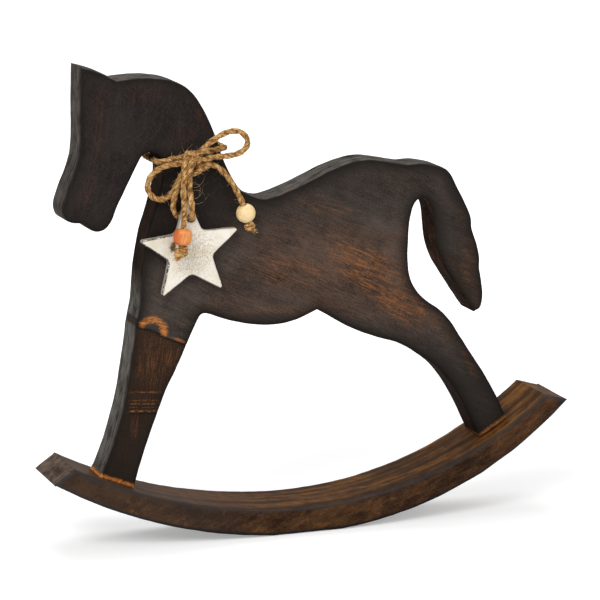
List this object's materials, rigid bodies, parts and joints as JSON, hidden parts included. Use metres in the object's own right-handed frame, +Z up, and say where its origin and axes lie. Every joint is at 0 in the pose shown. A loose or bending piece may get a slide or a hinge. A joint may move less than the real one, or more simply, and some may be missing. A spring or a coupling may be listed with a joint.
{
  "type": "rocking horse",
  "caption": "Flat wooden rocking horse ornament on a wide curved rocker, with a jute bow, wooden beads and a hanging cast star at its neck.",
  "frame": {"origin": "on the floor under the middle of the part's length and thickness: Z = 0 is the flat under the rocker, Y = 0 is the middle of the boards", "axes": "+X from the horse's head to its tail along the rocker, +Y away from the face that carries the bow, +Z up"},
  "size_m": [0.36, 0.0582, 0.3153],
  "materials": {
    "dark_wood": "dark stained board with worn orange streaks, satin wax",
    "brown_wood": "brown stained board, satin wax, worn arrises",
    "raw_wood": "plain beech dowel",
    "screw_steel": "zinc plated",
    "jute": "twisted jute cord with stray fibres",
    "peach_wood": "stained bead, semi-matt",
    "pale_wood": "natural bead, semi-matt",
    "cast_metal": "rough sand cast, whitened, dark speckled edges"
  },
  "bodies": {
    "horse": {"head_and_neck": "dark_wood", "torso": "dark_wood", "front_leg": "dark_wood", "rocker": "brown_wood", "neck_dowels": "raw_wood", "leg_dowels": "raw_wood", "leg_screws": "screw_steel", "neck_wrap": "jute", "bow_knot": "jute", "left_loop": "jute", "right_loop": "jute", "left_tail": "jute", "right_tail": "jute", "star_cord": "jute", "star_cord_end": "jute", "star_tie": "jute", "left_stopper": "jute", "right_stopper": "jute"},
    "star": {"star": "cast_metal"},
    "left_bead": {"left_bead": "peach_wood"},
    "right_bead": {"right_bead": "pale_wood"}
  },
  "joints": [
    {"name": "star_swing", "type": "hinge", "parent": "horse", "child": "star", "pos_m": [-0.086, -0.0171, 0.2161], "axis": [0, -0.9969, -0.0785], "range_deg": [-25, 9]},
    {"name": "left_bead_spin", "type": "hinge", "parent": "horse", "child": "left_bead", "pos_m": [-0.0936, -0.0273, 0.2053], "axis": [0.1219, 0, 0.9925], "continuous": true},
    {"name": "right_bead_spin", "type": "hinge", "parent": "horse", "child": "right_bead", "pos_m": [-0.0482, -0.0193, 0.2165], "axis": [-0.2924, 0, 0.9563], "continuous": true}
  ]
}
